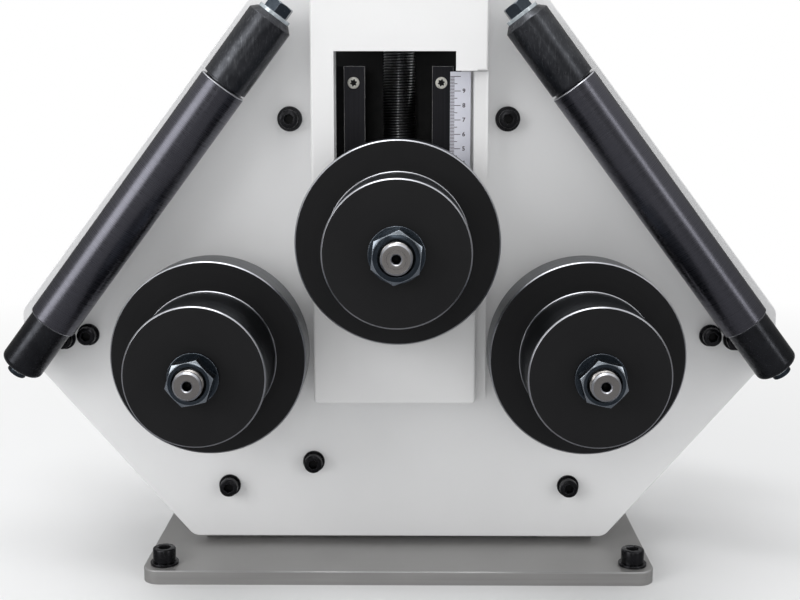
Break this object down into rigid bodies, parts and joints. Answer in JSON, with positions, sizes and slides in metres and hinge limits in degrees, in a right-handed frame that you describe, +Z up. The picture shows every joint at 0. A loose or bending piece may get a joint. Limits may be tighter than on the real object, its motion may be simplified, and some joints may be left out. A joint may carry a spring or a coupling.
{
  "type": "ring roller",
  "caption": "Bench ring roller: flanged steel rollers on a plate frame, screw-fed upper roller with a scale, geared lower rollers with a hand crank, and sloping support rollers.",
  "frame": {"origin": "underside of the base plate, on the middle plane, below the front plate's front face", "axes": "+X to the right seen from the front, +Y back into the machine, +Z up"},
  "size_m": [0.5546, 0.4315, 0.526],
  "materials": {
    "frame_paint": "satin powder coat",
    "base_steel": "ground steel",
    "black_steel": "turned and blackened",
    "black_fastener": "black oxide",
    "bright_steel": "turned",
    "machined_steel": "milled",
    "bronze": "turned bronze",
    "scale_white": "matt strip",
    "black_plastic": "moulded"
  },
  "bodies": {
    "frame": {"base_plate": "base_steel", "base_bolts": "black_fastener", "foot_brackets": "base_steel", "front_plate": "frame_paint", "rear_plate": "frame_paint", "frame_spacers": "machined_steel", "front_plate_screws": "black_fastener", "inner_m8_screws": "black_fastener", "small_screws": "black_fastener", "bearing_tubes": "machined_steel", "frame_bushes": "bronze", "bearing_covers": "black_steel", "guide_rails": "black_steel", "retaining_strips": "black_steel", "strip_screws": "bright_steel", "top_bridge": "machined_steel", "spindle_nut": "bronze", "centre_cover": "frame_paint", "scale_rail": "frame_paint", "scale_strip": "scale_white", "gear_case": "frame_paint", "crank_bearing_hub": "black_steel", "support_axles": "bright_steel", "upper_holders": "black_steel", "lower_holders": "black_steel", "support_end_bolts": "black_fastener"},
    "left": {"left_roller": "black_steel", "left_roller_shaft": "bright_steel", "left_shaft_sleeves": "bright_steel", "left_roller_nut": "black_fastener", "left_gear": "machined_steel", "left_shaft_fasteners": "bright_steel"},
    "right": {"right_roller": "black_steel", "right_roller_shaft": "bright_steel", "right_shaft_sleeves": "bright_steel", "right_roller_nut": "black_fastener", "right_gear": "machined_steel", "right_shaft_fasteners": "bright_steel"},
    "upper": {"upper_roller": "black_steel", "upper_roller_shaft": "bright_steel", "upper_shaft_sleeve": "bright_steel", "upper_roller_nut": "black_fastener", "upper_shaft_fasteners": "bright_steel"},
    "slide": {"slide_block": "black_steel", "slide_bushes": "bronze", "thrust_plate": "black_steel", "scale_pointer": "bright_steel"},
    "spindle": {"spindle": "bright_steel", "handle_hub": "black_steel", "tommy_bar": "bright_steel", "bar_knobs": "black_plastic", "handle_pin": "bright_steel"},
    "crank": {"crank_shaft": "bright_steel", "crank_pinion": "machined_steel", "crank_arm": "black_steel", "crank_fasteners": "bright_steel", "grip_pin": "bright_steel"},
    "crank_grip": {"crank_grip": "black_plastic"},
    "left_support": {"left_support_roller": "black_steel"},
    "right_support": {"right_support_roller": "black_steel"}
  },
  "joints": [
    {"name": "crank_spin", "type": "hinge", "parent": "frame", "child": "crank", "pos_m": [0, 0.12, 0.164], "axis": [0, 1, 0], "continuous": true},
    {"name": "left_roller_spin", "type": "hinge", "parent": "frame", "child": "left", "pos_m": [-0.1275, 0, 0.164], "axis": [0, 1, 0], "continuous": true},
    {"name": "right_roller_spin", "type": "hinge", "parent": "frame", "child": "right", "pos_m": [0.1275, 0, 0.164], "axis": [0, 1, 0], "continuous": true},
    {"name": "slide_travel", "type": "slide", "parent": "frame", "child": "slide", "axis": [0, 0, 1], "range_m": [-0.028, 0.06]},
    {"name": "spindle_turn", "type": "hinge", "parent": "slide", "child": "spindle", "pos_m": [0, 0.045, 0.275], "axis": [0, 0, 1], "range_deg": [-5039, 10799]},
    {"name": "upper_roller_spin", "type": "hinge", "parent": "slide", "child": "upper", "pos_m": [0, 0, 0.242], "axis": [0, 1, 0], "continuous": true},
    {"name": "crank_grip_spin", "type": "hinge", "parent": "crank", "child": "crank_grip", "pos_m": [0, 0.2288, 0.029], "axis": [0, 1, 0], "continuous": true},
    {"name": "left_support_spin", "type": "hinge", "parent": "frame", "child": "left_support", "pos_m": [-0.2428, -0.03, 0.1812], "axis": [0.6025, 0, 0.7981], "continuous": true},
    {"name": "right_support_spin", "type": "hinge", "parent": "frame", "child": "right_support", "pos_m": [0.2428, -0.03, 0.1812], "axis": [-0.6025, 0, 0.7981], "continuous": true}
  ],
  "couplings": [
    {"joint": "left_roller_spin", "follows": "crank_spin", "ratio": -0.26866},
    {"joint": "right_roller_spin", "follows": "crank_spin", "ratio": -0.26866},
    {"joint": "slide_travel", "follows": "spindle_turn", "m_per_rad": 0.00031831}
  ]
}
